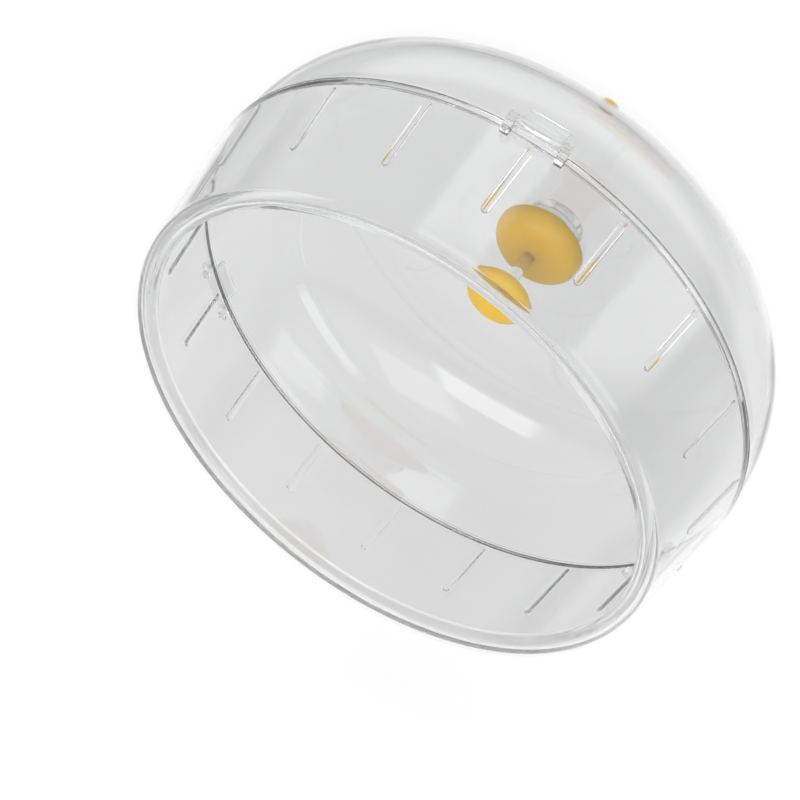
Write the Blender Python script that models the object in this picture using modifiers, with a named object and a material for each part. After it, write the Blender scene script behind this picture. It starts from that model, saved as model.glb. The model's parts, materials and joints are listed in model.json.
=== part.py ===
"""Clear hamster wheel in two halves, turning on a ball bearing, with three snap latches at its seam.

The wheel's axis is Y. The opening faces -Y, the closed dome faces +Y, and the origin is the middle of the
flat rear face by which the fixed axle is mounted. Sizes are in metres.
"""

import math

import bpy
from mathutils import Matrix

MM = 0.001

# Driving sizes of the two clear shells
SEAM_RADIUS = 70.0 * MM
RIM_RADIUS = 64.7 * MM
DRUM_DEPTH = 34.5 * MM
DOME_DEPTH = 39.4 * MM
WALL = 1.4 * MM
LIP_REACH = 4.7 * MM
LIP_LENGTH = 3.2 * MM
DOME_STEP = 0.25 * MM
DOME_POWER = 3.0
DISH_RADIUS = 26.0 * MM
DISH_DEPTH = 2.8 * MM
FLANGE_LENGTH = 0.8 * MM
SPIGOT_LENGTH = 0.8 * MM
LAP_WALL = 0.7 * MM

# Tread ribs inside the drum
RIB_COUNT = 18
RIB_LENGTH = 18.0 * MM
RIB_WIDTH = 1.7 * MM
RIB_HEIGHT = 0.55 * MM
RIB_BACK_SET = 2.0 * MM

# Pips on the dome's shoulder
PIP_RING_RADIUS = 60.0 * MM
PIP_FIRST_ANGLE = math.radians(17.5)
PIP_RADIUS = 2.0 * MM
PIP_HEIGHT = 0.6 * MM

# Snap latches at the seam
LATCH_COUNT = 3
LATCH_FIRST_ANGLE = math.radians(13.0)
LATCH_BARREL_LENGTH = 10.0 * MM
LATCH_BARREL_RADIUS = 1.35 * MM
LATCH_TAB_REACH = 5.0 * MM
LATCH_TAB_THICKNESS = 1.3 * MM
LATCH_TAB_EDGE = 0.3 * MM
TRUNNION_RADIUS = 0.6 * MM
EAR_THICKNESS = 2.2 * MM
EAR_FOOT_THICKNESS = 2.0 * MM
EAR_FOOT_LENGTH = 2.7 * MM
EAR_FOOT_DROP = 0.35 * MM

# Hub: fixed axle, ball bearing, collar, stem and cap
BACK_STANDOFF = 3.5 * MM
BOSS_RADIUS = 7.0 * MM
BOSS_FLANGE = 2.7 * MM
BOSS_SKIN = 1.05 * MM
BOSS_EDGE = 0.45 * MM
BOSS_SHOULDER_RADIUS = 2.4 * MM
BOSS_SCREW_RADIUS = 0.9 * MM
BOSS_SCREW_SPACING = 8.8 * MM
BOSS_SCREW_DEPTH = 2.0 * MM
AXLE_RADIUS = 1.5 * MM
AXLE_CHAMFER = 0.15 * MM
AXLE_NOSE = 0.4 * MM
BEARING_RADIUS = 5.0 * MM
BEARING_WIDTH = 4.0 * MM
BEARING_INSET = 1.2 * MM
BALL_COUNT = 7
BALL_RADIUS = 0.8 * MM
BALL_RING_RADIUS = 3.25 * MM
RACE_GAP = 1.2 * MM
SHIELD_THICKNESS = 0.25 * MM
POCKET_WALL = 1.35 * MM
POCKET_WEB = 0.6 * MM
WASHER_RADIUS = 2.5 * MM
WASHER_THICKNESS = 0.4 * MM
CLIP_RADIUS = 2.7 * MM
CLIP_THICKNESS = 0.4 * MM
CLIP_GROOVE_DEPTH = 0.4 * MM
COLLAR_RADIUS = 11.0 * MM
COLLAR_EDGE = 0.8 * MM
COLLAR_WALL = 2.2 * MM
STEM_RADIUS = 1.5 * MM
STEM_LENGTH = 17.65 * MM
STEM_SOCKET = 1.6 * MM
STEM_CHAMFER = 0.2 * MM
CAP_RADIUS = 7.65 * MM
CAP_DOME = 3.7 * MM
CAP_SKIRT = 1.0 * MM
CAP_WALL = 1.2 * MM
COVER_THICKNESS = 0.8 * MM

# Clearances
SEAT_GAP = 0.3 * MM
FIT_GAP = 0.15 * MM
RUNNING_GAP = 0.1 * MM
CLIP_CLEARANCE = 0.5 * MM

# Facets of the round pieces
SHELL_SEGMENTS = 60
HUB_SEGMENTS = 24
DOME_STEPS = 7
ROUND_STEPS = 5

# Stations along the axis
BACK_Y = -BACK_STANDOFF
SEAM_Y = BACK_Y - DOME_DEPTH
RIM_Y = SEAM_Y - DRUM_DEPTH
DOME_RADIUS = SEAM_RADIUS - DOME_STEP
BEARING_REAR_Y = BACK_Y - BEARING_INSET
BEARING_FRONT_Y = BEARING_REAR_Y - BEARING_WIDTH
BEARING_MIDDLE_Y = (BEARING_REAR_Y + BEARING_FRONT_Y) / 2
POCKET_BORE = BEARING_RADIUS + FIT_GAP
POCKET_RADIUS = POCKET_BORE + POCKET_WALL
LEDGE_Y = BEARING_FRONT_Y - FIT_GAP
LEDGE_FRONT_Y = LEDGE_Y - POCKET_WALL
NOSE_BORE = CLIP_RADIUS + CLIP_CLEARANCE
NOSE_RADIUS = NOSE_BORE + POCKET_WALL
WASHER_FRONT_Y = BEARING_FRONT_Y - FIT_GAP - WASHER_THICKNESS
CLIP_FRONT_Y = WASHER_FRONT_Y - FIT_GAP - CLIP_THICKNESS
AXLE_FRONT_Y = CLIP_FRONT_Y - AXLE_NOSE
AXLE_REAR_Y = -BOSS_SKIN - FIT_GAP
POCKET_FLOOR_Y = AXLE_FRONT_Y - SEAT_GAP
POCKET_FRONT_Y = POCKET_FLOOR_Y - POCKET_WEB
COLLAR_FRONT_Y = POCKET_FRONT_Y - SEAT_GAP - COLLAR_WALL
STEM_REAR_Y = COLLAR_FRONT_Y + STEM_SOCKET - FIT_GAP
STEM_END_Y = STEM_REAR_Y - STEM_LENGTH
CAP_INNER_Y = STEM_END_Y - SEAT_GAP
CAP_NOSE_Y = CAP_INNER_Y - CAP_WALL
CAP_BASE_Y = CAP_NOSE_Y + CAP_DOME
LATCH_AXIS_RADIUS = SEAM_RADIUS + SEAT_GAP + LATCH_TAB_THICKNESS / 2 + LATCH_BARREL_RADIUS / 2

# Names of the collections
PART_COLLECTION = "hamster_wheel"
CUTTER_COLLECTION = "cutters"

# Turns an object's local Z into the wheel's axis, +Y
ALONG_AXIS = Matrix.Rotation(-math.pi / 2, 4, "X")


def start_scene():
    for obj in list(bpy.data.objects):
        bpy.data.objects.remove(obj)
    for name in (PART_COLLECTION, CUTTER_COLLECTION):
        bpy.context.scene.collection.children.link(bpy.data.collections.new(name))


def plastic(name, colour, roughness, metallic=0.0, transmission=0.0):
    material = bpy.data.materials.new(name)
    material.use_nodes = True
    shader = material.node_tree.nodes["Principled BSDF"]
    shader.inputs["Base Color"].default_value = (*colour, 1.0)
    shader.inputs["Roughness"].default_value = roughness
    shader.inputs["Metallic"].default_value = metallic
    shader.inputs["Transmission Weight"].default_value = transmission
    return material


def add_object(name, mesh, material=None, cutter=False):
    """A new object in the part's collection, or a hidden wire one among the cutters."""
    obj = bpy.data.objects.new(name, mesh)
    bpy.data.collections[CUTTER_COLLECTION if cutter else PART_COLLECTION].objects.link(obj)
    if cutter:
        obj.hide_render = True
        obj.display_type = "WIRE"
    if material:
        mesh.materials.append(material)
    return obj


def turned(name, profile, material, segments, closed=True):
    """A profile of (radius, y) points, down its outer side, turned about the wheel's axis."""
    mesh = bpy.data.meshes.new(name)
    edges = [(i, i + 1) for i in range(len(profile) - 1)]
    if closed:
        edges.append((len(profile) - 1, 0))
    mesh.from_pydata([(radius, 0.0, y) for radius, y in profile], edges, [])
    obj = add_object(name, mesh, material)
    obj.matrix_world = ALONG_AXIS
    screw = obj.modifiers.new("turn", "SCREW")
    screw.axis = "Z"
    screw.angle = 2 * math.pi
    screw.steps = segments
    screw.render_steps = segments
    screw.use_merge_vertices = True
    screw.merge_threshold = 1e-6
    screw.use_smooth_shade = True
    return obj


def ring(name, inner, outer, front, rear, material, segments=HUB_SEGMENTS):
    profile = [(inner, rear), (outer, rear), (outer, front), (inner, front)]
    return turned(name, profile, material, segments)


def arc(centre, radii, start, end, steps):
    """Points of an elliptical arc in the (radius, y) plane, angles in degrees from +radius towards +y."""
    points = []
    for i in range(steps + 1):
        angle = math.radians(start + (end - start) * i / steps)
        points.append((centre[0] + radii[0] * math.cos(angle), centre[1] + radii[1] * math.sin(angle)))
    return points


def boolean(obj, other, operation):
    modifier = obj.modifiers.new(f"{operation.lower()} {other.name}", "BOOLEAN")
    modifier.operation = operation
    modifier.object = other
    return modifier


def primitive(name, add, place, scale=(1, 1, 1), cutter=True, material=None, **sizes):
    """A primitive at the origin, scaled and then placed by a matrix, with its scale in its mesh."""
    add(**sizes)
    made = bpy.context.object
    mesh = made.data
    mesh.name = name
    bpy.data.objects.remove(made)
    mesh.transform(Matrix.Diagonal((*scale, 1)))
    obj = add_object(name, mesh, material, cutter)
    obj.matrix_world = place
    return obj


def around(angle):
    """Local X is tangential, Y axial and Z radial, at an angle from +Z towards +X about the wheel's axis."""
    return Matrix.Rotation(angle, 4, "Y")


def latch_angles(first=LATCH_FIRST_ANGLE):
    return [first + 2 * math.pi * i / LATCH_COUNT for i in range(LATCH_COUNT)]


def dome_height(radius, outer_radius, depth):
    """How far the dome's back rises behind the seam at a radius, with its middle dished in towards the hub."""
    rise = depth * (1 - (radius / outer_radius) ** DOME_POWER) ** (1 / DOME_POWER)
    inward = min(max((DISH_RADIUS - radius) / (DISH_RADIUS - POCKET_RADIUS), 0.0), 1.0)
    return rise - DISH_DEPTH * inward * inward * (3 - 2 * inward)


def dome_curve(outer_radius, depth, hub_radius):
    """(radius, y) points from the hub out over the back and down the side to the seam."""
    flat_radius = outer_radius * math.cos(math.radians(68)) ** (2 / DOME_POWER)
    points = []
    for i in range(DOME_STEPS // 2):
        radius = hub_radius + (flat_radius - hub_radius) * i / (DOME_STEPS // 2)
        points.append((radius, SEAM_Y + dome_height(radius, outer_radius, depth)))
    for i in range(DOME_STEPS + 1):
        angle = math.radians(68 * (1 - i / DOME_STEPS))
        radius = outer_radius * math.cos(angle) ** (2 / DOME_POWER)
        points.append((radius, SEAM_Y + dome_height(radius, outer_radius, depth)))
    return points


def make_dome(clear):
    seat = SEAM_Y + SEAT_GAP
    spigot_end = SEAM_Y - SPIGOT_LENGTH
    inner_radius = DOME_RADIUS - WALL
    outside = [p for p in dome_curve(DOME_RADIUS, DOME_DEPTH, POCKET_RADIUS) if p[1] > seat + FLANGE_LENGTH]
    inside = [p for p in dome_curve(inner_radius, DOME_DEPTH - WALL, POCKET_RADIUS) if p[1] > seat]
    pocket_mouth = BEARING_REAR_Y + FIT_GAP
    profile = [(POCKET_BORE, pocket_mouth), (POCKET_RADIUS, pocket_mouth)]
    profile += outside
    profile += [(DOME_RADIUS, seat + FLANGE_LENGTH), (SEAM_RADIUS, seat + FLANGE_LENGTH), (SEAM_RADIUS, seat)]
    for y in (seat, spigot_end):
        profile.append((drum_radius(y) - LAP_WALL - SEAT_GAP, y))
    profile.append((inner_radius, spigot_end))
    profile += inside[::-1]
    profile += [(POCKET_RADIUS, LEDGE_FRONT_Y), (NOSE_RADIUS, LEDGE_FRONT_Y), (NOSE_RADIUS, POCKET_FRONT_Y)]
    profile += [(0, POCKET_FRONT_Y), (0, POCKET_FLOOR_Y)]
    profile += [(NOSE_BORE, POCKET_FLOOR_Y), (NOSE_BORE, LEDGE_Y), (POCKET_BORE, LEDGE_Y)]
    dome = turned("dome_shell", profile, clear, SHELL_SEGMENTS)
    slope = (PIP_RING_RADIUS / DOME_RADIUS) ** (DOME_POWER - 1)
    rise = (1 - (PIP_RING_RADIUS / DOME_RADIUS) ** DOME_POWER) ** ((DOME_POWER - 1) / DOME_POWER)
    tilt = math.atan2(DOME_DEPTH / DOME_RADIUS * slope, rise)
    height = SEAM_Y + dome_height(PIP_RING_RADIUS, DOME_RADIUS, DOME_DEPTH)
    for i, angle in enumerate(latch_angles(PIP_FIRST_ANGLE)):
        place = around(angle) @ Matrix.Translation((0, height, PIP_RING_RADIUS))
        place = place @ Matrix.Rotation(-(math.pi / 2 - tilt), 4, "X")
        pip = primitive(
            f"pip_{i + 1}", bpy.ops.mesh.primitive_uv_sphere_add, place, (PIP_RADIUS, PIP_RADIUS, PIP_HEIGHT),
            segments=10, ring_count=6, radius=1,
        )
        boolean(dome, pip, "UNION")
    return dome


def drum_radius(y):
    """Outer radius of the drum's conical wall."""
    return RIM_RADIUS + (SEAM_RADIUS - RIM_RADIUS) * (y - RIM_Y) / DRUM_DEPTH


def make_drum(clear):
    """A conical wall whose front rolls inwards to a round-edged lip and whose back laps over the dome's spigot."""
    curl = RIM_Y + LIP_LENGTH
    half_roll = LIP_REACH / 2
    roll_middle = (drum_radius(curl) - half_roll, curl)
    edge_middle = (drum_radius(curl) - LIP_REACH + WALL / 2, curl)
    shoulder = SEAM_Y - SPIGOT_LENGTH - SEAT_GAP
    profile = [(SEAM_RADIUS - LAP_WALL, SEAM_Y), (SEAM_RADIUS, SEAM_Y)]
    profile += arc(roll_middle, (half_roll, LIP_LENGTH), 0, -180, 2 * ROUND_STEPS - 2)
    profile += arc(edge_middle, (WALL / 2, WALL / 2), 180, 0, 4)[1:-1]
    profile += arc(roll_middle, (half_roll - WALL, LIP_LENGTH - WALL), -180, 0, ROUND_STEPS + 1)
    profile += [(drum_radius(shoulder) - WALL, shoulder), (drum_radius(shoulder) - LAP_WALL, shoulder)]
    drum = turned("drum_shell", profile, clear, SHELL_SEGMENTS)
    rib_middle = SEAM_Y - RIB_BACK_SET - RIB_LENGTH / 2
    lean = math.atan2(SEAM_RADIUS - RIM_RADIUS, DRUM_DEPTH)
    for i in range(RIB_COUNT):
        angle = LATCH_FIRST_ANGLE + 2 * math.pi * i / RIB_COUNT
        place = around(angle) @ Matrix.Translation((0, rib_middle, drum_radius(rib_middle) - WALL))
        place = place @ Matrix.Rotation(lean, 4, "X")
        boolean(drum, make_rib(f"rib_{i + 1}", place), "UNION")
    pin_holes = []
    for i, angle in enumerate(latch_angles()):
        for side in (-1, 1):
            for ear in make_ear(f"ear_{i + 1}_{'left' if side < 0 else 'right'}", angle, side):
                boolean(drum, ear, "UNION")
        length = LATCH_BARREL_LENGTH + 4 * EAR_THICKNESS
        place = latch_axis(angle) @ Matrix.Rotation(math.pi / 2, 4, "Y")
        hole = primitive(
            f"trunnion_hole_{i + 1}", bpy.ops.mesh.primitive_cylinder_add, place,
            vertices=12, radius=TRUNNION_RADIUS + SEAT_GAP, depth=length,
        )
        pin_holes.append(hole)
    for hole in pin_holes:
        boolean(drum, hole, "DIFFERENCE")
    return drum


def make_rib(name, place):
    """A low bar with round ends, half of it sunk in the wall."""
    rib = primitive(
        name, bpy.ops.mesh.primitive_uv_sphere_add, place @ Matrix.Rotation(math.pi / 2, 4, "X"),
        (RIB_WIDTH / 2, RIB_HEIGHT, RIB_WIDTH / 2), segments=8, ring_count=5, radius=1,
    )
    straight = (RIB_LENGTH - RIB_WIDTH) / 2
    for vertex in rib.data.vertices:
        vertex.co.z += math.copysign(straight, vertex.co.z)
    return rib


def latch_axis(angle):
    """Frame on a latch's hinge axis: X along the axis, Y along the wheel's axis, Z outwards."""
    return around(angle) @ Matrix.Translation((0, SEAM_Y, LATCH_AXIS_RADIUS))


def make_ear(name, angle, side):
    """A round lug beside the latch's barrel and the foot that carries it on the drum's wall."""
    middle = side * (LATCH_BARREL_LENGTH / 2 + SEAT_GAP + EAR_THICKNESS / 2)
    place = latch_axis(angle) @ Matrix.Translation((middle, 0, 0))
    lug = primitive(
        name, bpy.ops.mesh.primitive_cylinder_add, place @ Matrix.Rotation(math.pi / 2, 4, "Y"),
        vertices=16, radius=LATCH_BARREL_RADIUS, depth=EAR_THICKNESS,
    )
    foot_depth = LATCH_AXIS_RADIUS - SEAM_RADIUS + LAP_WALL + SEAT_GAP / 2 - EAR_FOOT_DROP
    foot_height = -EAR_FOOT_DROP - foot_depth / 2
    foot_place = place @ Matrix.Translation((0, -EAR_FOOT_LENGTH / 2 - SEAT_GAP, foot_height))
    foot = primitive(
        f"{name}_foot", bpy.ops.mesh.primitive_cube_add, foot_place,
        (EAR_FOOT_THICKNESS, EAR_FOOT_LENGTH, foot_depth), size=1,
    )
    return lug, foot


def make_latch(name, angle, clear):
    """A barrel with a trunnion at each end and a flat tab that lies over the dome's flange."""
    axis = latch_axis(angle)
    along = Matrix.Rotation(math.pi / 2, 4, "Y")
    latch = primitive(
        name, bpy.ops.mesh.primitive_cylinder_add, axis, cutter=False, material=clear,
        vertices=20, radius=LATCH_BARREL_RADIUS, depth=LATCH_BARREL_LENGTH,
    )
    latch.data.transform(along)
    pin = primitive(
        f"{name}_trunnions", bpy.ops.mesh.primitive_cylinder_add, axis @ along,
        vertices=12, radius=TRUNNION_RADIUS, depth=LATCH_BARREL_LENGTH + 2 * EAR_THICKNESS,
    )
    boolean(latch, pin, "UNION")
    tab_bottom = SEAM_RADIUS + SEAT_GAP - LATCH_AXIS_RADIUS
    tab_place = axis @ Matrix.Translation((0, LATCH_TAB_REACH / 2, tab_bottom + LATCH_TAB_THICKNESS / 2))
    tab = primitive(
        f"{name}_tab", bpy.ops.mesh.primitive_cube_add, tab_place,
        (LATCH_BARREL_LENGTH, LATCH_TAB_REACH, LATCH_TAB_THICKNESS), size=1,
    )
    bevel = tab.modifiers.new("rounded edges", "BEVEL")
    bevel.width = LATCH_TAB_EDGE
    bevel.segments = 2
    boolean(latch, tab, "UNION")
    return latch


def make_axle(steel):
    groove_radius = AXLE_RADIUS - CLIP_GROOVE_DEPTH
    groove_front = CLIP_FRONT_Y - FIT_GAP
    groove_rear = CLIP_FRONT_Y + CLIP_THICKNESS + FIT_GAP
    profile = [(0, AXLE_REAR_Y), (AXLE_RADIUS, AXLE_REAR_Y), (AXLE_RADIUS, groove_rear)]
    profile += [(groove_radius, groove_rear), (groove_radius, groove_front), (AXLE_RADIUS, groove_front)]
    profile += [(AXLE_RADIUS, AXLE_FRONT_Y + AXLE_CHAMFER), (AXLE_RADIUS - AXLE_CHAMFER, AXLE_FRONT_Y)]
    profile += [(0, AXLE_FRONT_Y)]
    return turned("axle", profile, steel, HUB_SEGMENTS, closed=False)


def make_mount_boss(clear):
    socket = AXLE_RADIUS + FIT_GAP
    socket_end = -BOSS_SKIN
    flange_front = -BOSS_FLANGE
    front = BEARING_REAR_Y + FIT_GAP
    profile = [(0, 0), (BOSS_RADIUS - BOSS_EDGE, 0), (BOSS_RADIUS, -BOSS_EDGE), (BOSS_RADIUS, flange_front)]
    profile += [(BOSS_SHOULDER_RADIUS, flange_front), (BOSS_SHOULDER_RADIUS, front)]
    profile += [(socket, front), (socket, socket_end), (0, socket_end)]
    boss = turned("mount_boss", profile, clear, HUB_SEGMENTS, closed=False)
    for side in (-1, 1):
        place = Matrix.Translation((side * BOSS_SCREW_SPACING / 2, 0, 0)) @ ALONG_AXIS
        hole = primitive(
            f"screw_hole_{'left' if side < 0 else 'right'}", bpy.ops.mesh.primitive_cylinder_add, place,
            vertices=16, radius=BOSS_SCREW_RADIUS, depth=2 * BOSS_SCREW_DEPTH,
        )
        boolean(boss, hole, "DIFFERENCE")
    return boss


def make_bearing(steel, brass):
    groove = BALL_RADIUS + RUNNING_GAP
    half_gap = RACE_GAP / 2
    reach = math.degrees(math.acos(half_gap / groove))
    middle = (BALL_RING_RADIUS, BEARING_MIDDLE_Y)
    land_inner = BALL_RING_RADIUS - half_gap
    land_outer = BALL_RING_RADIUS + half_gap
    bore = AXLE_RADIUS + FIT_GAP
    profile = [(bore, BEARING_REAR_Y), (land_inner, BEARING_REAR_Y)]
    profile += arc(middle, (groove, groove), 180 - reach, 180 + reach, ROUND_STEPS)
    profile += [(land_inner, BEARING_FRONT_Y), (bore, BEARING_FRONT_Y)]
    turned("bearing_inner_ring", profile, steel, HUB_SEGMENTS)
    profile = [(BEARING_RADIUS, BEARING_REAR_Y), (BEARING_RADIUS, BEARING_FRONT_Y), (land_outer, BEARING_FRONT_Y)]
    profile += arc(middle, (groove, groove), -reach, reach, ROUND_STEPS)
    profile += [(land_outer, BEARING_REAR_Y)]
    turned("bearing_outer_ring", profile, steel, HUB_SEGMENTS)
    shield_inner = land_inner + RUNNING_GAP
    shield_outer = land_outer - FIT_GAP / 3
    ring(
        "bearing_rear_shield", shield_inner, shield_outer,
        BEARING_REAR_Y - SHIELD_THICKNESS, BEARING_REAR_Y, steel,
    )
    ring(
        "bearing_front_shield", shield_inner, shield_outer,
        BEARING_FRONT_Y, BEARING_FRONT_Y + SHIELD_THICKNESS, steel,
    )
    cage_front = BEARING_FRONT_Y + SHIELD_THICKNESS + FIT_GAP
    cage_rear = BEARING_MIDDLE_Y + BALL_RADIUS / 3
    cage = ring(
        "bearing_cage", land_inner + FIT_GAP, land_outer - FIT_GAP, cage_front, cage_rear, brass,
    )
    for i in range(BALL_COUNT):
        place = around(2 * math.pi * i / BALL_COUNT) @ Matrix.Translation((0, BEARING_MIDDLE_Y, BALL_RING_RADIUS))
        pocket = primitive(
            f"ball_pocket_{i + 1}", bpy.ops.mesh.primitive_cylinder_add, place,
            vertices=16, radius=BALL_RADIUS + FIT_GAP, depth=4 * RACE_GAP,
        )
        boolean(cage, pocket, "DIFFERENCE")
        primitive(
            f"bearing_ball_{i + 1}", bpy.ops.mesh.primitive_uv_sphere_add, place, cutter=False, material=steel,
            segments=8, ring_count=6, radius=BALL_RADIUS,
        )


def make_axle_clip(steel):
    bore = AXLE_RADIUS - CLIP_GROOVE_DEPTH + FIT_GAP
    clip = ring("axle_clip", bore, CLIP_RADIUS, CLIP_FRONT_Y, CLIP_FRONT_Y + CLIP_THICKNESS, steel)
    place = Matrix.Translation((0, CLIP_FRONT_Y, -CLIP_RADIUS))
    mouth = primitive(
        "clip_mouth", bpy.ops.mesh.primitive_cube_add, place,
        (2 * bore, 4 * CLIP_THICKNESS, 2 * CLIP_RADIUS), size=1,
    )
    boolean(clip, mouth, "DIFFERENCE")
    return clip


def make_inner_cap(yellow):
    """A hollow dome with a tube in its middle that is pushed onto the stem."""
    skirt_end = CAP_BASE_Y + CAP_SKIRT
    socket = STEM_RADIUS + FIT_GAP
    tube = socket + CAP_WALL
    hollow = CAP_RADIUS - CAP_WALL
    profile = [(socket, CAP_INNER_Y), (socket, skirt_end), (tube, skirt_end)]
    for radius in (tube, hollow):
        rise = CAP_DOME * math.sqrt(1 - (radius / CAP_RADIUS) ** 2)
        profile.append((radius, CAP_BASE_Y - rise + CAP_WALL))
    profile += [(hollow, skirt_end), (CAP_RADIUS, skirt_end)]
    profile += arc((0, CAP_BASE_Y), (CAP_RADIUS, CAP_DOME), 0, -90, ROUND_STEPS)
    profile += [(0, CAP_INNER_Y)]
    return turned("inner_cap", profile, yellow, HUB_SEGMENTS)


def make_cap_stem(clear):
    """The clear rod that carries the inner cap, glued into a shallow socket in the collar's nose."""
    shoulder = STEM_RADIUS - STEM_CHAMFER
    profile = [(0, STEM_REAR_Y), (shoulder, STEM_REAR_Y), (STEM_RADIUS, STEM_REAR_Y - STEM_CHAMFER)]
    profile += [(STEM_RADIUS, STEM_END_Y + STEM_CHAMFER), (shoulder, STEM_END_Y), (0, STEM_END_Y)]
    return turned("cap_stem", profile, clear, HUB_SEGMENTS, closed=False)


def make_hub_collar(yellow):
    """A domed collar that hides the bearing's pocket, with a socket for the stem in its nose."""
    seat = SEAM_Y + dome_height(POCKET_RADIUS, DOME_RADIUS - WALL, DOME_DEPTH - WALL) - SEAT_GAP
    inner_front = POCKET_FRONT_Y - SEAT_GAP
    inner_step = LEDGE_FRONT_Y - SEAT_GAP
    bore = POCKET_RADIUS + FIT_GAP
    throat = NOSE_RADIUS + FIT_GAP
    socket = STEM_RADIUS + FIT_GAP
    socket_end = COLLAR_FRONT_Y + STEM_SOCKET
    edge = seat - COLLAR_EDGE
    nose = socket + COLLAR_WALL
    profile = [(bore, seat), (COLLAR_RADIUS, seat)]
    profile += arc((nose, edge), (COLLAR_RADIUS - nose, edge - COLLAR_FRONT_Y), 0, -90, ROUND_STEPS)
    profile += [(socket, COLLAR_FRONT_Y), (socket, socket_end), (0, socket_end), (0, inner_front)]
    profile += [(throat, inner_front), (throat, inner_step), (bore, inner_step)]
    return turned("hub_collar", profile, yellow, HUB_SEGMENTS)


def make_bearing_cover(clear):
    rear = BEARING_REAR_Y + 2 * FIT_GAP + COVER_THICKNESS
    front = BEARING_REAR_Y + 2 * FIT_GAP
    return ring("bearing_cover", BOSS_SHOULDER_RADIUS + SEAT_GAP, POCKET_RADIUS, front, rear, clear)


def main():
    start_scene()
    clear = plastic("clear_plastic", (0.93, 0.94, 0.95), 0.04, transmission=1.0)
    yellow = plastic("yellow_plastic", (0.83, 0.56, 0.08), 0.3)
    steel = plastic("bearing_steel", (0.62, 0.63, 0.65), 0.22, metallic=1.0)
    brass = plastic("cage_brass", (0.7, 0.55, 0.28), 0.3, metallic=1.0)
    make_dome(clear)
    make_drum(clear)
    for i, angle in enumerate(latch_angles()):
        make_latch(f"latch_{i + 1}", angle, clear)
    make_axle(steel)
    make_mount_boss(clear)
    make_bearing(steel, brass)
    washer_rear = WASHER_FRONT_Y + WASHER_THICKNESS
    ring("axle_washer", AXLE_RADIUS + RUNNING_GAP, WASHER_RADIUS, WASHER_FRONT_Y, washer_rear, steel)
    make_axle_clip(steel)
    make_inner_cap(yellow)
    make_cap_stem(clear)
    make_hub_collar(yellow)
    make_bearing_cover(clear)


main()
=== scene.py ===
import json
import math

import bmesh
import bpy
from mathutils import Matrix, Vector


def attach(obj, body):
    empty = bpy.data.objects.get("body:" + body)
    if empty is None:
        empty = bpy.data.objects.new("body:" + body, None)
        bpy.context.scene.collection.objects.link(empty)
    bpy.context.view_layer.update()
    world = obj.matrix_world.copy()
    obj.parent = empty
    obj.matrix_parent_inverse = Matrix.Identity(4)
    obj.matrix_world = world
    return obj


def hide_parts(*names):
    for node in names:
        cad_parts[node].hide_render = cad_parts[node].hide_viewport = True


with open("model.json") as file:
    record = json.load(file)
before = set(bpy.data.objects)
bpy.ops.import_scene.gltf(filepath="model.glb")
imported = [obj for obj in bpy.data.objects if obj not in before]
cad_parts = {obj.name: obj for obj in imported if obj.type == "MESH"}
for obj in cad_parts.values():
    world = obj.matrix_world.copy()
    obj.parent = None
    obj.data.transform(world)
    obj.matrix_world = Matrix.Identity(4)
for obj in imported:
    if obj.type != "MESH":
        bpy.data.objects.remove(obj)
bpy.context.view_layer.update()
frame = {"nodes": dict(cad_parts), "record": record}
nodes = frame["nodes"]

MM = 0.001

# Sizes shared with the CAD, in millimetres along and away from the wheel's axis
SEAM_R = 70.0
SEAM_Y = -42.9
DOME_R = 69.75
DOME_DEPTH = 39.4
WALL = 1.4
RIM_Y = -77.4
DRUM_DEPTH = SEAM_Y - RIM_Y
RIM_R = 64.7
LATCH_ANGLES = [math.radians(13 + 120 * i) for i in range(3)]
PIP_ANGLE = math.radians(17.5)
LATCH_AXIS_R = 71.625
BARREL_R = 1.35
BARREL_LENGTH = 10.0
RIB_COUNT = 18
RIB_FIRST = math.radians(13)


# Modelling by hand: deselect, add a primitive, shape it in edit mode

def fresh(name, add, **sizes):
    """A new primitive, alone in the selection, under its piece's name."""
    if bpy.context.mode != "OBJECT":
        bpy.ops.object.mode_set(mode="OBJECT")
    bpy.ops.object.select_all(action="DESELECT")
    add(**sizes)
    piece = bpy.context.object
    piece.name = name
    piece.data.name = name
    return piece


def choose(piece):
    """Makes the piece the only one selected and the active one."""
    bpy.ops.object.select_all(action="DESELECT")
    piece.select_set(True)
    bpy.context.view_layer.objects.active = piece


def edit(piece):
    bpy.context.view_layer.objects.active = piece
    bpy.ops.object.mode_set(mode="EDIT")
    bpy.ops.mesh.select_mode(type="VERT")
    bpy.ops.mesh.select_all(action="SELECT")


def leave_edit():
    bpy.ops.object.mode_set(mode="OBJECT")


def pick_vertices(piece, test):
    """In edit mode, selects the vertices whose place passes the test."""
    bpy.ops.mesh.select_all(action="DESELECT")
    mesh = bmesh.from_edit_mesh(piece.data)
    for vertex in mesh.verts:
        vertex.select = test(vertex.co)
    mesh.select_flush(True)
    bmesh.update_edit_mesh(piece.data)


def apply_modifier(piece, kind, **settings):
    choose(piece)
    modifier = piece.modifiers.new(kind.lower(), kind)
    for key, value in settings.items():
        setattr(modifier, key, value)
    bpy.ops.object.modifier_apply(modifier=modifier.name)


def ease_edges(piece, width, segments, past_angle=30):
    """Bevels the edges that turn by more than an angle, by a width in millimetres."""
    limit = {"limit_method": "ANGLE", "angle_limit": math.radians(past_angle)}
    apply_modifier(piece, "BEVEL", width=width * MM, segments=segments, **limit)


def smooth(piece, angle=35):
    choose(piece)
    bpy.ops.object.shade_smooth_by_angle(angle=math.radians(angle))


def settle(piece):
    """Puts the piece's place into its mesh, so its object sits at the origin."""
    choose(piece)
    bpy.ops.object.transform_apply(location=True, rotation=True, scale=True)


MERGE_DISTANCE = 2e-6
SAME_POINT = 1e-6


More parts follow.
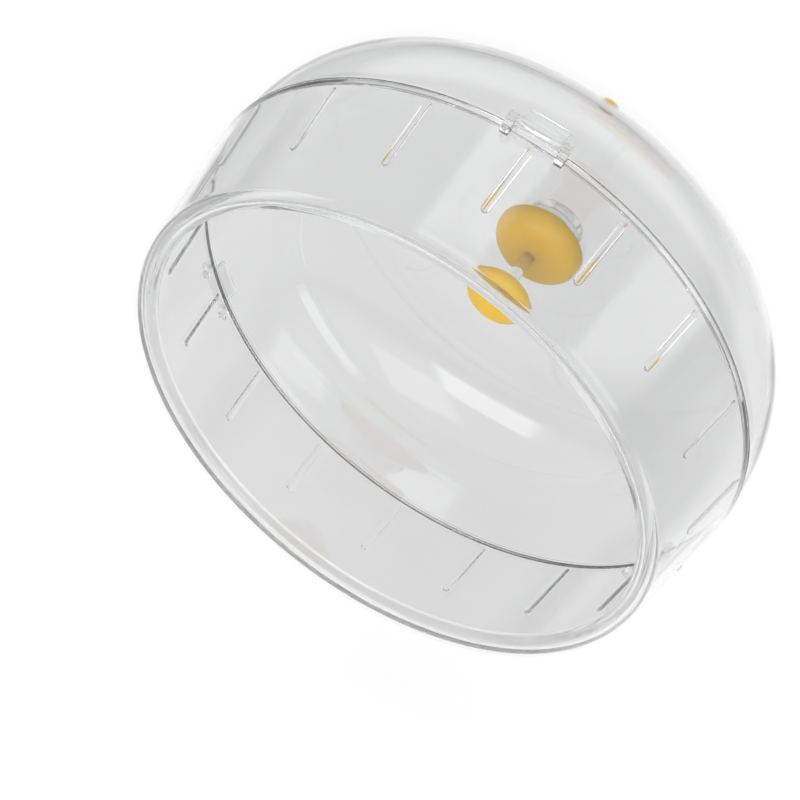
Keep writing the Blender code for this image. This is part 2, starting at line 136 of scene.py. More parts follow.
def turned(name, profile, steps=96, closed=True, angle=35, start=0.0, spans=None, copies=1):
    """Extrudes a profile of (radius, y) millimetres point by point and spins it about the wheel's axis.

    spans lists (degrees, steps) for spins that follow each other from the start angle, +Z towards +X.
    They make one sector, which is then copied round.
    """
    piece = fresh(name, bpy.ops.mesh.primitive_plane_add, size=MM)
    edit(piece)
    bpy.ops.mesh.merge(type="CENTER")
    at = Vector((0, 0, 0))
    first = None
    for radius, y in profile:
        to = Vector((radius * math.sin(start), y, radius * math.cos(start))) * MM
        if first is None:
            bpy.ops.transform.translate(value=to)
            first = to
        else:
            bpy.ops.mesh.extrude_region_move(TRANSFORM_OT_translate={"value": to - at})
        at = to
    if closed:
        last = at.copy()
        pick_vertices(piece, lambda co: min((co - first).length, (co - last).length) < SAME_POINT)
        bpy.ops.mesh.edge_face_add()
    bpy.ops.mesh.select_all(action="SELECT")
    about = {"center": (0, 0, 0), "axis": (0, -1, 0)}
    for degrees, count in spans or [(360, steps)]:
        bpy.ops.mesh.spin(steps=count, angle=math.radians(degrees), **about)
    bpy.ops.mesh.select_all(action="SELECT")
    if copies > 1:
        turn = 2 * math.pi * (copies - 1) / copies
        bpy.ops.mesh.spin(steps=copies - 1, dupli=True, angle=turn, **about)
        bpy.ops.mesh.select_all(action="SELECT")
    bpy.ops.mesh.remove_doubles(threshold=MERGE_DISTANCE)
    bpy.ops.mesh.normals_make_consistent(inside=False)
    leave_edit()
    smooth(piece, angle)
    return piece


def rounded(points, steps=4):
    """A closed profile of (radius, y, fillet) whose corners are eased by their fillet, in millimetres."""
    eased = []
    count = len(points)
    for i, (radius, y, fillet) in enumerate(points):
        here = Vector((radius, y))
        if not fillet:
            eased.append((radius, y))
            continue
        before = Vector(points[i - 1][:2]) - here
        after = Vector(points[(i + 1) % count][:2]) - here
        start = here + before.normalized() * min(fillet, before.length * 0.45)
        end = here + after.normalized() * min(fillet, after.length * 0.45)
        for k in range(steps + 1):
            t = k / steps
            at = start * (1 - t) ** 2 + here * 2 * t * (1 - t) + end * t ** 2
            eased.append((at.x, at.y))
    return eased


def ellipse(centre, radii, start, end, steps):
    """Points of an arc of (radius, y) between two angles in degrees."""
    points = []
    for i in range(steps + 1):
        angle = math.radians(start + (end - start) * i / steps)
        points.append((centre[0] + radii[0] * math.cos(angle), centre[1] + radii[1] * math.sin(angle)))
    return points


def soft_step(value):
    value = min(max(value, 0.0), 1.0)
    return value * value * (3 - 2 * value)


def move_vertices(piece, shift):
    """Sculpts in code: shift takes a vertex's place and gives its new one."""
    for vertex in piece.data.vertices:
        vertex.co = shift(vertex.co)
    piece.data.update()


def combine(piece, other, operation):
    """Adds the other piece's solid or cuts it away, and removes the other piece."""
    apply_modifier(piece, "BOOLEAN", operation=operation, object=other, solver="EXACT")
    bpy.data.objects.remove(other)


def cylinder(name, radius, length, vertices, place):
    """A cylinder in millimetres along Z of its place."""
    sizes = {"vertices": vertices, "radius": radius * MM, "depth": length * MM}
    return placed(fresh(name, bpy.ops.mesh.primitive_cylinder_add, **sizes), place)


def block(name, size, place):
    """A box in millimetres, centred on its place."""
    piece = fresh(name, bpy.ops.mesh.primitive_cube_add, size=1)
    piece.scale = [side * MM for side in size]
    settle(piece)
    return placed(piece, place)


def placed(piece, matrix):
    piece.matrix_world = matrix
    settle(piece)
    return piece


def around(angle, radius=0.0, y=0.0, sideways=0.0):
    """A place at an angle from +Z to +X: X runs along the rim, Y along the axis and Z outwards."""
    return Matrix.Rotation(angle, 4, "Y") @ Matrix.Translation((sideways * MM, y * MM, radius * MM))


ALONG_RIM = Matrix.Rotation(math.pi / 2, 4, "Y")


# The clear drum

def drum_r(y):
    return RIM_R + (SEAM_R - RIM_R) * (y - RIM_Y) / DRUM_DEPTH


LIP_REACH = 4.7
LIP_LENGTH = 3.2
CURL_Y = RIM_Y + LIP_LENGTH
ROLL = LIP_REACH / 2
ROLL_R = drum_r(CURL_Y) - ROLL
LAP_WALL = 0.7
RIB_HALF_WIDTH = 0.85
RIB_HEIGHT = 0.55
RIB_LENGTH = 18.0
RIB_BACK_SET = 2.0
RIB_MID_Y = SEAM_Y - RIB_BACK_SET - RIB_LENGTH / 2
WALL_STEP = 2.5
RIB_STEP = 1.2
RIB_END_STEP = 0.25
EAR_THICKNESS = 2.2
EAR_GAP = 0.3
EAR_BORE_R = 0.9
EAR_FOOT = (2.0, 2.7, 2.125)
EAR_FOOT_DROP = 0.35


def drum_profile():
    """The wall from its lapped back end over the outside to the rolled lip and back along the inside."""
    lap = SEAM_Y - 1.1
    points = [(SEAM_R - LAP_WALL, SEAM_Y), (SEAM_R - 0.1, SEAM_Y), (SEAM_R - 0.02, SEAM_Y - 0.1)]
    y = SEAM_Y - 0.5
    while y > CURL_Y + 0.6:
        points.append((drum_r(y), y))
        y -= WALL_STEP
    points += ellipse((ROLL_R, CURL_Y), (ROLL, LIP_LENGTH), 0, -180, 28)
    points += ellipse((ROLL_R - ROLL + WALL / 2, CURL_Y), (WALL / 2, WALL / 2), 180, 0, 10)[1:-1]
    points += ellipse((ROLL_R, CURL_Y), (ROLL - WALL, LIP_LENGTH - WALL), -180, 0, 20)
    y = CURL_Y
    while y < lap - 0.2:
        near_end = abs(abs(y - RIB_MID_Y) - RIB_LENGTH / 2) < 1.8
        y = min(y + (RIB_END_STEP if near_end else RIB_STEP), lap)
        points.append((drum_r(y) - WALL, y))
    points.append((drum_r(lap) - LAP_WALL, lap))
    return points


def with_ribs(co):
    """Raises the tread ribs from the inside of the drum's wall."""
    y = co.y / MM
    radius = math.hypot(co.x, co.z) / MM
    if abs(y - RIB_MID_Y) > RIB_LENGTH / 2 + 0.5 or radius > drum_r(y) - WALL * 0.6:
        return co
    angle = math.atan2(co.x, co.z) - RIB_FIRST
    pitch = 2 * math.pi / RIB_COUNT
    across = (angle - pitch * round(angle / pitch)) * radius
    along = max(abs(y - RIB_MID_Y) - (RIB_LENGTH / 2 - RIB_HALF_WIDTH), 0.0)
    off = min(math.hypot(across, along) / RIB_HALF_WIDTH, 1.0)
    shrink = 1 - RIB_HEIGHT * math.sqrt(1 - off * off) / radius
    return Vector((co.x * shrink, co.y, co.z * shrink))


def make_ear(angle, side):
    """A round lug beside a latch's barrel, bored for the trunnion, on a foot out of the drum's wall."""
    middle = side * (BARREL_LENGTH / 2 + EAR_GAP + EAR_THICKNESS / 2)
    place = around(angle, LATCH_AXIS_R, SEAM_Y, middle) @ ALONG_RIM
    lug = cylinder("ear", BARREL_R, EAR_THICKNESS, 40, place)
    ease_edges(lug, 0.3, 4, past_angle=50)
    foot_r = LATCH_AXIS_R - EAR_FOOT_DROP - EAR_FOOT[2] / 2
    foot_y = SEAM_Y - EAR_GAP - EAR_FOOT[1] / 2
    foot = block("ear_foot", EAR_FOOT, around(angle, foot_r, foot_y, middle))
    ease_edges(foot, 0.25, 3)
    combine(lug, foot, "UNION")
    combine(lug, cylinder("trunnion_hole", EAR_BORE_R, 4.0, 32, place), "DIFFERENCE")
    return lug


def joined(pieces):
    """Several separate pieces as the islands of one mesh."""
    bpy.ops.object.select_all(action="DESELECT")
    for piece in pieces:
        piece.select_set(True)
    bpy.context.view_layer.objects.active = pieces[0]
    bpy.ops.object.join()
    return pieces[0]


def make_drum():
    """One sector with fine steps across its rib, copied round, with the ears grown onto it."""
    start = RIB_FIRST - math.radians(1.1)
    spans = [(2.2, 18), (17.8, 18)]
    drum = turned("clear_drum", drum_profile(), angle=40, start=start, spans=spans, copies=RIB_COUNT)
    move_vertices(drum, with_ribs)
    ears = [make_ear(angle, side) for angle in LATCH_ANGLES for side in (-1, 1)]
    combine(drum, joined(ears), "UNION")
    smooth(drum, 40)
    return drum


# The clear dome with its hub

DISH_R = 26.0
DISH_DEPTH = 2.8
POCKET_R = 6.5
PIP_RING_R = 60.0
PIP_R = 2.0
PIP_HEIGHT = 0.6
DOME_POWER = 3
FLANGE_LENGTH = 0.8
CURVE_STEPS = 60


def dome_y(radius, outer, depth):
    """The dome's height along the axis at a radius, with the dish round the hub."""
    rise = depth * (1 - (radius / outer) ** DOME_POWER) ** (1 / DOME_POWER)
    return SEAM_Y + rise - DISH_DEPTH * soft_step((DISH_R - radius) / (DISH_R - POCKET_R))


def dome_curve(outer, depth, lowest):
    """From the bearing pocket over the dished back, the shoulder and down to the seam."""
    points = []
    radius = POCKET_R
    while radius < outer * 0.6:
        points.append((radius, dome_y(radius, outer, depth)))
        radius += 1.4
    first = math.degrees(math.acos((radius / outer) ** (DOME_POWER / 2)))
    for i in range(CURVE_STEPS + 1):
        angle = math.radians(first * (1 - i / CURVE_STEPS))
        radius = outer * math.cos(angle) ** (2 / DOME_POWER)
        y = dome_y(radius, outer, depth)
        if y > lowest:
            points.append((radius, y))
    return points


def dome_profile():
    """From the bearing pocket's floor over the back, down to the seam and in again to the pocket's nose."""
    seat = SEAM_Y + 0.12
    flange = seat + FLANGE_LENGTH
    outside = dome_curve(DOME_R, DOME_DEPTH, flange + 0.3)
    inside = dome_curve(DOME_R - WALL, DOME_DEPTH - WALL, SEAM_Y + 0.2)
    corners = [(0, -10.5, 0), (3.2, -10.5, 0.2), (3.2, -8.85, 0.1), (5.15, -8.85, 0.15), (5.15, -4.55, 0.15)]
    corners += [(POCKET_R, -4.55, 0.3)]
    corners += [(radius, y, 0.4 if i == 0 else 0) for i, (radius, y) in enumerate(outside)]
    corners += [(DOME_R, flange, 0.1), (SEAM_R, flange, 0.2), (SEAM_R, seat, 0.08)]
    corners += [(69.18, seat, 0.05), (69.06, SEAM_Y - 0.92, 0.1), (DOME_R - WALL, SEAM_Y - 0.92, 0.1)]
    corners += [(radius, y, 0) for radius, y in inside[::-1]]
    corners += [(POCKET_R, -10.2, 0.4), (4.55, -10.2, 0.4), (4.55, -11.1, 0.3), (0, -11.1, 0)]
    return rounded(corners)


def with_pip(co):
    """Raises the small pip on the dome's shoulder."""
    radius = math.hypot(co.x, co.z) / MM
    if abs(radius - PIP_RING_R) > 3.2:
        return co
    y = co.y / MM
    outer = dome_y(radius, DOME_R, DOME_DEPTH)
    if abs(y - outer) > 0.3:
        return co
    pip_y = dome_y(PIP_RING_R, DOME_R, DOME_DEPTH)
    share = PIP_RING_R / DOME_R
    slope = DOME_DEPTH / DOME_R * share ** 2 / (1 - share ** DOME_POWER) ** (2 / DOME_POWER)
    angle = math.atan2(co.x, co.z)
    turn = (angle - PIP_ANGLE + math.pi) % (2 * math.pi) - math.pi
    away = Vector((turn * radius, radius - PIP_RING_R, y - pip_y)).length
    lift = PIP_HEIGHT * soft_step((PIP_R + 0.3 - away) / 1.7)
    normal = Vector((slope * math.sin(angle), 1, slope * math.cos(angle))).normalized()
    return co + normal * lift * MM


def make_dome():
    """Turned with finer steps where its pip is raised."""
    start = PIP_ANGLE - math.radians(3)
    spans = [(6, 26), (354, 236)]
    dome = turned("clear_dome", dome_profile(), closed=False, angle=40, start=start, spans=spans)
    move_vertices(dome, with_pip)
    smooth(dome, 40)
    return dome


# The snap latches

TRUNNION_R = 0.6
TRUNNION_SPAN = 14.4
TAB = (BARREL_LENGTH, 5.0, 1.3)
TAB_GAP = 0.3


def make_latch(name, angle):
    """A barrel with a trunnion at each end and a flat tab with eased edges over the dome's flange."""
    place = around(angle, LATCH_AXIS_R, SEAM_Y)
    latch = cylinder(name, BARREL_R, BARREL_LENGTH, 48, place @ ALONG_RIM)
    ease_edges(latch, 0.25, 4, past_angle=50)
    pin = cylinder("trunnions", TRUNNION_R, TRUNNION_SPAN, 32, place @ ALONG_RIM)
    outwards = SEAM_R + TAB_GAP + TAB[2] / 2 - LATCH_AXIS_R
    tab = block("tab", TAB, place @ Matrix.Translation((0, TAB[1] / 2 * MM, outwards * MM)))
    ease_edges(tab, 0.45, 5)
    for other in (pin, tab):
        combine(latch, other, "UNION")
    smooth(latch, 40)
    return latch


# The hub's turned pieces

STEM_R = 1.5
CAP_R = 7.65
CAP_BACK_Y = -26.6
CAP_EDGE_Y = -27.6
CAP_DOME = 3.7
COLLAR_BACK_Y = -8.0
COLLAR_NOSE_Y = -13.6
BEARING_REAR_Y = -4.7
BEARING_FRONT_Y = -8.7
BALL_RING_R = 3.25
RACE_GROOVE_R = 0.9
SHIELD = 0.25


def ring_profile(inner, outer, front, rear, ease):
    return rounded([(inner, rear, ease), (outer, rear, ease), (outer, front, ease), (inner, front, ease)])


def make_inner_cap():
    """A hollow dome with a tube in its middle that sits on the stem."""
    corners = [(0, -30.1, 0), (1.65, -30.1, 0.1), (1.65, CAP_BACK_Y, 0.2), (2.85, CAP_BACK_Y, 0.2)]
    corners += [(2.85, -29.83, 0.5), (6.45, -28.39, 0.6), (6.45, CAP_BACK_Y, 0.2)]
    corners += [(CAP_R, CAP_BACK_Y, 0.2), (CAP_R, CAP_EDGE_Y, 0)]
    crown = ellipse((0, CAP_EDGE_Y), (CAP_R, CAP_DOME), 0, -90, 28)
    corners += [(radius, y, 0) for radius, y in crown[1:]]
    return turned("yellow_inner_cap", rounded(corners), closed=False, angle=45)


def make_cap_stem():
    rear, front = -12.15, -29.8
    corners = [(0, rear, 0), (STEM_R, rear, 0.25), (STEM_R, front, 0.25), (0, front, 0)]
    return turned("clear_cap_stem", rounded(corners), 64, closed=False, angle=45)


def make_hub_collar():
    """A domed collar whose nose the stem is glued into."""
    corners = [(0, -11.4, 0), (4.7, -11.4, 0.2), (4.7, -10.5, 0.2), (6.65, -10.5, 0.2)]
    corners += [(6.65, COLLAR_BACK_Y, 0.1), (11, COLLAR_BACK_Y, 0.25)]
    crown = ellipse((3.85, -8.8), (7.15, 4.8), 0, -90, 30)
    corners += [(radius, y, 0) for radius, y in crown] + [(0, COLLAR_NOSE_Y, 0)]
    return turned("yellow_hub_collar", rounded(corners), closed=False, angle=45)


def make_axle():
    """A pin with a groove for its clip and a chamfered end."""
    profile = [(0, -1.2), (1.5, -1.2), (1.5, -9.25), (1.1, -9.25), (1.1, -9.95), (1.5, -9.95), (1.5, -10.05)]
    profile += [(1.35, -10.2), (0, -10.2)]
    return turned("ground_axle", profile, 64, closed=False, angle=30)


def make_mount_boss():
    """A flange with a shoulder against the bearing, a socket for the axle and two screw holes."""
    corners = [(0, 0, 0), (7, 0, 0.5), (7, -2.7, 0.3), (2.4, -2.7, 0.3), (2.4, -4.55, 0.15)]
    corners += [(1.65, -4.55, 0.1), (1.65, -1.05, 0), (0, -1.05, 0)]
    boss = turned("clear_mount_boss", rounded(corners), 72, closed=False, angle=35)
    for side in (-1, 1):
        place = Matrix.Translation((side * 4.4 * MM, 0, 0)) @ Matrix.Rotation(math.pi / 2, 4, "X")
        combine(boss, cylinder("screw_hole", 0.9, 4.0, 32, place), "DIFFERENCE")
    smooth(boss, 35)
    return boss


def make_bearing_pieces():
    """The bearing's rings and shields, ground smooth, the washer before it and the cover behind it."""
    rear, front = BEARING_REAR_Y, BEARING_FRONT_Y
    middle = (BALL_RING_R, -6.7)
    groove = (RACE_GROOVE_R, RACE_GROOVE_R)
    reach = math.degrees(math.acos(0.6 / RACE_GROOVE_R))
    inner = [(1.8, rear), (2.5, rear), (2.65, rear - 0.15)]
    inner += ellipse(middle, groove, 180 - reach, 180 + reach, 14)
    inner += [(2.65, front + 0.15), (2.5, front), (1.8, front), (1.65, front + 0.15), (1.65, rear - 0.15)]
    outer = [(4.0, rear), (4.8, rear), (5, rear - 0.2), (5, front + 0.2), (4.8, front), (4.0, front)]
    outer += [(3.85, front + 0.15)] + ellipse(middle, groove, -reach, reach, 14) + [(3.85, rear - 0.15)]
    rear_shield = ring_profile(2.75, 3.8, rear - SHIELD, rear, 0.08)
    front_shield = ring_profile(2.75, 3.8, front, front + SHIELD, 0.08)
    made = {
        "bearing_inner_ring": ("ground_inner_ring", inner),
        "bearing_outer_ring": ("ground_outer_ring", outer),
        "bearing_rear_shield": ("pressed_rear_shield", rear_shield),
        "bearing_front_shield": ("pressed_front_shield", front_shield),
        "bearing_cover": ("clear_bearing_cover", ring_profile(2.7, 6.5, -4.4, -3.6, 0.2)),
        "axle_washer": ("steel_washer", ring_profile(1.6, 2.5, -9.25, -8.85, 0.08)),
    }
    return {node: turned(name, profile, 72) for node, (name, profile) in made.items()}


# Shader maths: a socket that takes part in Python expressions

class Value:
    def __init__(self, sheet, socket):
        self.sheet = sheet
        self.socket = socket

    def maths(self, operation, *values):
        return self.sheet.node("ShaderNodeMath", {"operation": operation}, dict(enumerate(values)))[0]

    def __add__(self, other):
        return self.maths("ADD", self, other)

    __radd__ = __add__

    def __mul__(self, other):
        return self.maths("MULTIPLY", self, other)

    __rmul__ = __mul__

    def __sub__(self, other):
        return self.maths("SUBTRACT", self, other)

    def __rsub__(self, other):
        return self.maths("SUBTRACT", other, self)

    def __abs__(self):
        return self.maths("ABSOLUTE", self)

    def larger(self, other):
        return self.maths("MAXIMUM", self, other)

    def ramp(self, low, high):
        """0 below low and 1 above high, smoothly."""
        settings = {"interpolation_type": "SMOOTHSTEP"}
        return self.sheet.node("ShaderNodeMapRange", settings, {0: self, 1: low, 2: high, 3: 0.0, 4: 1.0})[0]


class Sheet:
    """A material's, a lamp's or the world's node tree, cleared for new nodes."""

    def __init__(self, owner):
        owner.use_nodes = True
        self.tree = owner.node_tree
        self.tree.nodes.clear()

    def node(self, kind, settings=None, sockets=None):
        made = self.tree.nodes.new(kind)
        for key, value in (settings or {}).items():
            setattr(made, key, value)
        for key, value in (sockets or {}).items():
            if isinstance(value, Value):
                self.tree.links.new(value.socket, made.inputs[key])
            else:
                made.inputs[key].default_value = value
        return Outputs(self, made)


class Outputs:
    """A node's outputs, taken by name or number."""

    def __init__(self, sheet, made):
        self.sheet = sheet
        self.made = made

    def __getitem__(self, key):
        return Value(self.sheet, self.made.outputs[key])


def noise(sheet, scale, detail=2.0):
    place = sheet.node("ShaderNodeTexCoord")["Object"]
    sockets = {"Vector": place, "Scale": scale, "Detail": detail}
    return sheet.node("ShaderNodeTexNoise", None, sockets)["Fac"]


MIX_FACTOR, MIX_FIRST, MIX_SECOND, MIX_RESULT = 0, 6, 7, 2


def two_tone(sheet, factor, *tones):
    """A mix of two colours, each a triple or the output of another node."""
    first, second = [tone if isinstance(tone, Value) else (*tone, 1) for tone in tones]
    sockets = {MIX_FACTOR: factor, MIX_FIRST: first, MIX_SECOND: second}
    return sheet.node("ShaderNodeMix", {"data_type": "RGBA"}, sockets)[MIX_RESULT]


def finish(name, build, absorbs=0.0, dot=None):
    """A material from its surface's sockets.

    It may also take up light per metre of its thickness, and hold a dot, given by its mask and its
    own sockets.
    """
    material = bpy.data.materials.new(name)
    sheet = Sheet(material)
    surface = sheet.node("ShaderNodeBsdfPrincipled", None, build(sheet))["BSDF"]
    if dot:
        mask, dot_build = dot
        other = sheet.node("ShaderNodeBsdfPrincipled", None, dot_build(sheet))["BSDF"]
        surface = sheet.node("ShaderNodeMixShader", None, {0: mask(sheet), 1: surface, 2: other})["Shader"]
    ends = {"Surface": surface}
    if absorbs:
        inside = {"Color": (0, 0, 0, 1), "Density": absorbs}
        ends["Volume"] = sheet.node("ShaderNodeVolumeAbsorption", None, inside)["Volume"]
    sheet.node("ShaderNodeOutputMaterial", None, ends)
    return material


def bump(sheet, height, strength, distance):
    sockets = {"Height": height, "Strength": strength, "Distance": distance}
    return sheet.node("ShaderNodeBump", None, sockets)["Normal"]


def at_pip(sheet):
    """1 on the dome's pip and 0 elsewhere."""
    place = sheet.node("ShaderNodeTexCoord")["Object"]
    middle = around(PIP_ANGLE, PIP_RING_R, dome_y(PIP_RING_R, DOME_R, DOME_DEPTH)).translation
    away = sheet.node("ShaderNodeVectorMath", {"operation": "DISTANCE"}, {0: place, 1: middle})["Value"]
    return 1.0 - away.ramp((PIP_R - 0.5) * MM, (PIP_R + 0.3) * MM)


def clear_plastic(sheet):
    smear = noise(sheet, 60.0, 3.0)
    ripple = noise(sheet, 45.0, 1.0)
    colour = two_tone(sheet, smear, (0.88, 0.882, 0.885), (0.91, 0.912, 0.915))
    return {
        "Base Color": colour,
        "Roughness": 0.012 + 0.02 * smear.ramp(0.5, 0.75),
        "IOR": 1.52,
        "Transmission Weight": 1.0,
        "Normal": bump(sheet, ripple, 0.06, 0.002),
    }


def yellow_plastic(sheet):
    cloud = noise(sheet, 220.0, 3.0)
    grain = noise(sheet, 2600.0, 2.0)
    return {
        "Base Color": two_tone(sheet, cloud, (0.92, 0.55, 0.02), (0.97, 0.60, 0.035)),
        "Roughness": 0.26 + 0.12 * cloud,
        "IOR": 1.5,
        "Normal": bump(sheet, grain, 0.12, 0.0001),
    }


def ground_steel(sheet):
    place = sheet.node("ShaderNodeTexCoord")["Object"]
    stretch = sheet.node("ShaderNodeMapping", None, {"Vector": place, "Scale": (1, 30, 1)})["Vector"]
    marks = sheet.node("ShaderNodeTexNoise", None, {"Vector": stretch, "Scale": 900.0, "Detail": 3.0})["Fac"]
    return {
        "Base Color": two_tone(sheet, marks, (0.74, 0.75, 0.77), (0.86, 0.87, 0.88)),
        "Metallic": 1.0,
        "Roughness": 0.16 + 0.16 * marks,
    }


def cage_brass(sheet):
    cloud = noise(sheet, 700.0, 4.0)
    return {
        "Base Color": two_tone(sheet, cloud, (0.60, 0.45, 0.20), (0.76, 0.60, 0.31)),
        "Metallic": 1.0,
        "Roughness": 0.22 + 0.2 * cloud,
    }


CLEAR_ABSORBS = 6.0
PIP_DOT = (at_pip, yellow_plastic)
FINISHES = {
    "clear_plastic": finish("clear moulded plastic", clear_plastic, CLEAR_ABSORBS, PIP_DOT),
    "yellow_plastic": finish("yellow moulded plastic", yellow_plastic),
    "bearing_steel": finish("ground bearing steel", ground_steel),
    "cage_brass": finish("stamped cage brass", cage_brass),
}


def dress(piece, slot):
    piece.data.materials.clear()
    piece.data.materials.append(FINISHES[slot])


SLOT_OF = {row["node"]: row["material_slot"] for row in frame["record"]["subparts"]}
BODIES = frame["record"]["behaviour"]["bodies"]
BODY_OF = {node: body for body, names in BODIES.items() for node in names}


def stand_for(piece, node):
    """The piece takes its CAD node's place, body and finish."""
    dress(piece, SLOT_OF[node])
    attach(piece, BODY_OF[node])
    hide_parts(node)


stand_for(make_drum(), "drum_shell")
stand_for(make_dome(), "dome_shell")
for i, angle in enumerate(LATCH_ANGLES):
    stand_for(make_latch(f"clear_latch_{i + 1}", angle), f"latch_{i + 1}")
stand_for(make_inner_cap(), "inner_cap")
stand_for(make_cap_stem(), "cap_stem")
stand_for(make_hub_collar(), "hub_collar")
stand_for(make_axle(), "axle")
stand_for(make_mount_boss(), "mount_boss")
for node, piece in make_bearing_pieces().items():
    stand_for(piece, node)
for node in ["bearing_cage", "axle_clip"] + [f"bearing_ball_{i + 1}" for i in range(7)]:
    dress(nodes[node], SLOT_OF[node])


# Stage: a floor that is white in a painted pool of light round the view and painted darker beyond it, and a
# soft studio that the clear walls show

WHITE = (1, 1, 1, 1)


def seen_directly(sheet):
    """1 for what the camera sees, also mirrored or through clear plastic, and 0 for light on things."""
    path = sheet.node("ShaderNodeLightPath")
    return path["Is Camera Ray"].larger(path["Is Glossy Ray"]).larger(path["Is Transmission Ray"])


FLOOR_Z = -0.12
# The floor's colour paints a pool of light: a lighter tone in a rectangle round the view and painted shade,
# a darker tone, beyond it, which the clear walls mirror and refract
POOL_MIDDLE = (0.010, 0.426, FLOOR_Z)
POOL_TURN = math.radians(31.3)
POOL_HALF_WIDTH = 0.385
POOL_HALF_DEPTH = 0.455
POOL_FADE = 0.08
PAINTED_POOL_TONE = (0.78, 0.78, 0.78)
PAINTED_SHADE_TONE = (0.54, 0.54, 0.54)
floor_place = {"location": POOL_MIDDLE, "rotation": (0, 0, POOL_TURN)}
floor = fresh("floor", bpy.ops.mesh.primitive_plane_add, size=8, **floor_place)
paper = bpy.data.materials.new("white paper floor")
sheet = Sheet(paper)
spot = sheet.node("ShaderNodeSeparateXYZ", None, {"Vector": sheet.node("ShaderNodeTexCoord")["Object"]})
past_pool_side = abs(spot["X"]).ramp(POOL_HALF_WIDTH, POOL_HALF_WIDTH + POOL_FADE)
past_pool_end = abs(spot["Y"]).ramp(POOL_HALF_DEPTH, POOL_HALF_DEPTH + POOL_FADE)
# Painted shade: the floor's colour turns darker past the pool's sides and ends
shade = two_tone(sheet, past_pool_side.larger(past_pool_end), PAINTED_POOL_TONE, PAINTED_SHADE_TONE)
lit = sheet.node("ShaderNodeBsdfDiffuse", None, {"Color": shade})["BSDF"]
glow = sheet.node("ShaderNodeEmission", None, {"Color": WHITE, "Strength": 0.03})["Emission"]
white = sheet.node("ShaderNodeAddShader", None, {0: glow, 1: lit})["Shader"]
both = sheet.node("ShaderNodeMixShader", None, {0: seen_directly(sheet), 1: lit, 2: white})["Shader"]
sheet.node("ShaderNodeOutputMaterial", None, {"Surface": both})
floor.data.materials.append(paper)

world = bpy.data.worlds.new("studio")
bpy.context.scene.world = world
sheet = Sheet(world)
direction = sheet.node("ShaderNodeTexCoord")["Generated"]
axes = sheet.node("ShaderNodeSeparateXYZ", None, {"Vector": direction})
WORLD_LIGHT = 0.9
seen_band = 0.45 + 0.50 * axes["Z"].ramp(0.02, 0.30)
level = seen_directly(sheet) * (seen_band - WORLD_LIGHT) + WORLD_LIGHT
background = sheet.node("ShaderNodeBackground", None, {"Color": WHITE, "Strength": level})["Background"]
sheet.node("ShaderNodeOutputWorld", None, {"Surface": background})


SOFTBOX_FADE = 0.35


def softbox(name, place, aim, width, depth, strength):
    """A glowing panel that faces the aim and fades towards its edges."""
    panel = fresh(name, bpy.ops.mesh.primitive_plane_add, size=1)
    panel.scale = (width, depth, 1)
    settle(panel)
    panel.location = place
    panel.rotation_euler = (Vector(aim) - Vector(place)).to_track_quat("Z", "Y").to_euler()
    cloth = bpy.data.materials.new(name)
    sheet = Sheet(cloth)
    spot = sheet.node("ShaderNodeSeparateXYZ", None, {"Vector": sheet.node("ShaderNodeTexCoord")["Object"]})
    across = abs(spot["X"]) * (2 / width)
    along = abs(spot["Y"]) * (2 / depth)
    front = 1.0 - sheet.node("ShaderNodeNewGeometry")["Backfacing"]
    cover = (1.0 - across).ramp(0.0, SOFTBOX_FADE) * (1.0 - along).ramp(0.0, SOFTBOX_FADE) * front
    glow = sheet.node("ShaderNodeEmission", None, {"Color": WHITE, "Strength": strength})["Emission"]
    clear = sheet.node("ShaderNodeBsdfTransparent")["BSDF"]
    faded = sheet.node("ShaderNodeMixShader", None, {0: cover, 1: clear, 2: glow})["Shader"]
    sheet.node("ShaderNodeOutputMaterial", None, {"Surface": faded})
    panel.data.materials.append(cloth)
    return panel


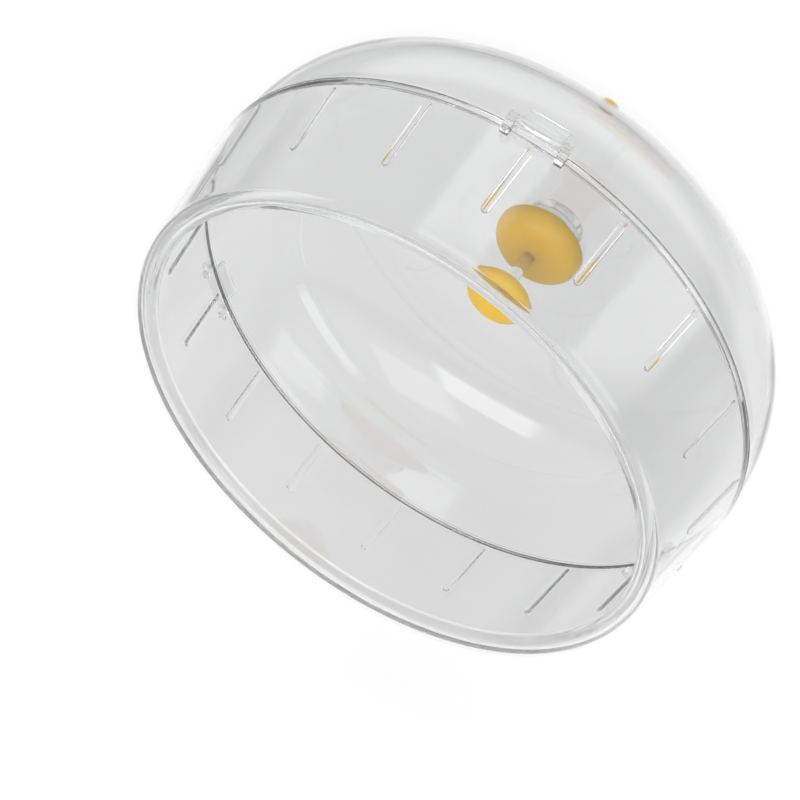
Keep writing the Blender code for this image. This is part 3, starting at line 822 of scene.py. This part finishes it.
MIDDLE = (0, -0.04, 0)
softbox("front_softbox", (-0.16, -1.0, 0.25), MIDDLE, 0.60, 0.36, 2.8)
softbox("strip_softbox", (0.90, -0.27, 0.38), MIDDLE, 0.24, 0.85, 2.6)
softbox("side_softbox", (0.85, 0.40, 0.35), MIDDLE, 0.30, 0.60, 2.0)
softbox("top_softbox", (0.0, 0.45, 0.90), MIDDLE, 0.5, 0.5, 2.2)
fill = softbox("fill_softbox", (0.30, -0.80, 0.55), MIDDLE, 0.7, 0.6, 3.0)
fill.visible_glossy = False

# The lamp at the camera whitens the paper alone, evenly, and the wheel's shadow stays behind the wheel
lamp = bpy.data.lights.new("paper_light", "SPOT")
lamp.energy = 14.0
lamp.shadow_soft_size = 0.015
lamp.spot_size = math.radians(30)
lamp.spot_blend = 0.15
sheet = Sheet(lamp)
even = sheet.node("ShaderNodeLightFalloff", None, {"Strength": 1.02})["Constant"]
beam = sheet.node("ShaderNodeEmission", None, {"Color": WHITE, "Strength": even})["Emission"]
sheet.node("ShaderNodeOutputLight", None, {"Surface": beam})
paper_light = bpy.data.objects.new("paper_light", lamp)
bpy.context.scene.collection.objects.link(paper_light)
paper_light.visible_glossy = False
paper_light.visible_transmission = False
paper_alone = bpy.data.collections.new("paper alone")
paper_alone.objects.link(floor)
paper_light.light_linking.receiver_collection = paper_alone

CAMERA_AT = Vector((0.1847, -0.3733, 0.4149))
CAMERA_RIGHT = Vector((0.854, 0.520, 0.0)).normalized()
CAMERA_BACK = Vector((0.341, -0.560, 0.755)).normalized()
CAMERA_UP = CAMERA_BACK.cross(CAMERA_RIGHT)
HALF_VIEW = math.radians(9)
SENSOR_WIDTH = 36.0
LAMP_BEHIND_CAMERA = 0.03
lens = bpy.data.cameras.new("camera")
lens.sensor_width = SENSOR_WIDTH
lens.lens = SENSOR_WIDTH / 2 / math.tan(HALF_VIEW)
lens.clip_start = 0.01
camera = bpy.data.objects.new("camera", lens)
bpy.context.scene.collection.objects.link(camera)
turn = Matrix((CAMERA_RIGHT, CAMERA_UP, CAMERA_BACK)).transposed()
camera.matrix_world = Matrix.Translation(CAMERA_AT) @ turn.to_4x4()
paper_light.matrix_world = Matrix.Translation(CAMERA_AT + LAMP_BEHIND_CAMERA * CAMERA_BACK) @ turn.to_4x4()
bpy.context.scene.camera = camera

BOUNCES = 96
scene = bpy.context.scene
scene.view_settings.view_transform = "Standard"
scene.cycles.max_bounces = BOUNCES
scene.cycles.transmission_bounces = BOUNCES
scene.cycles.glossy_bounces = BOUNCES
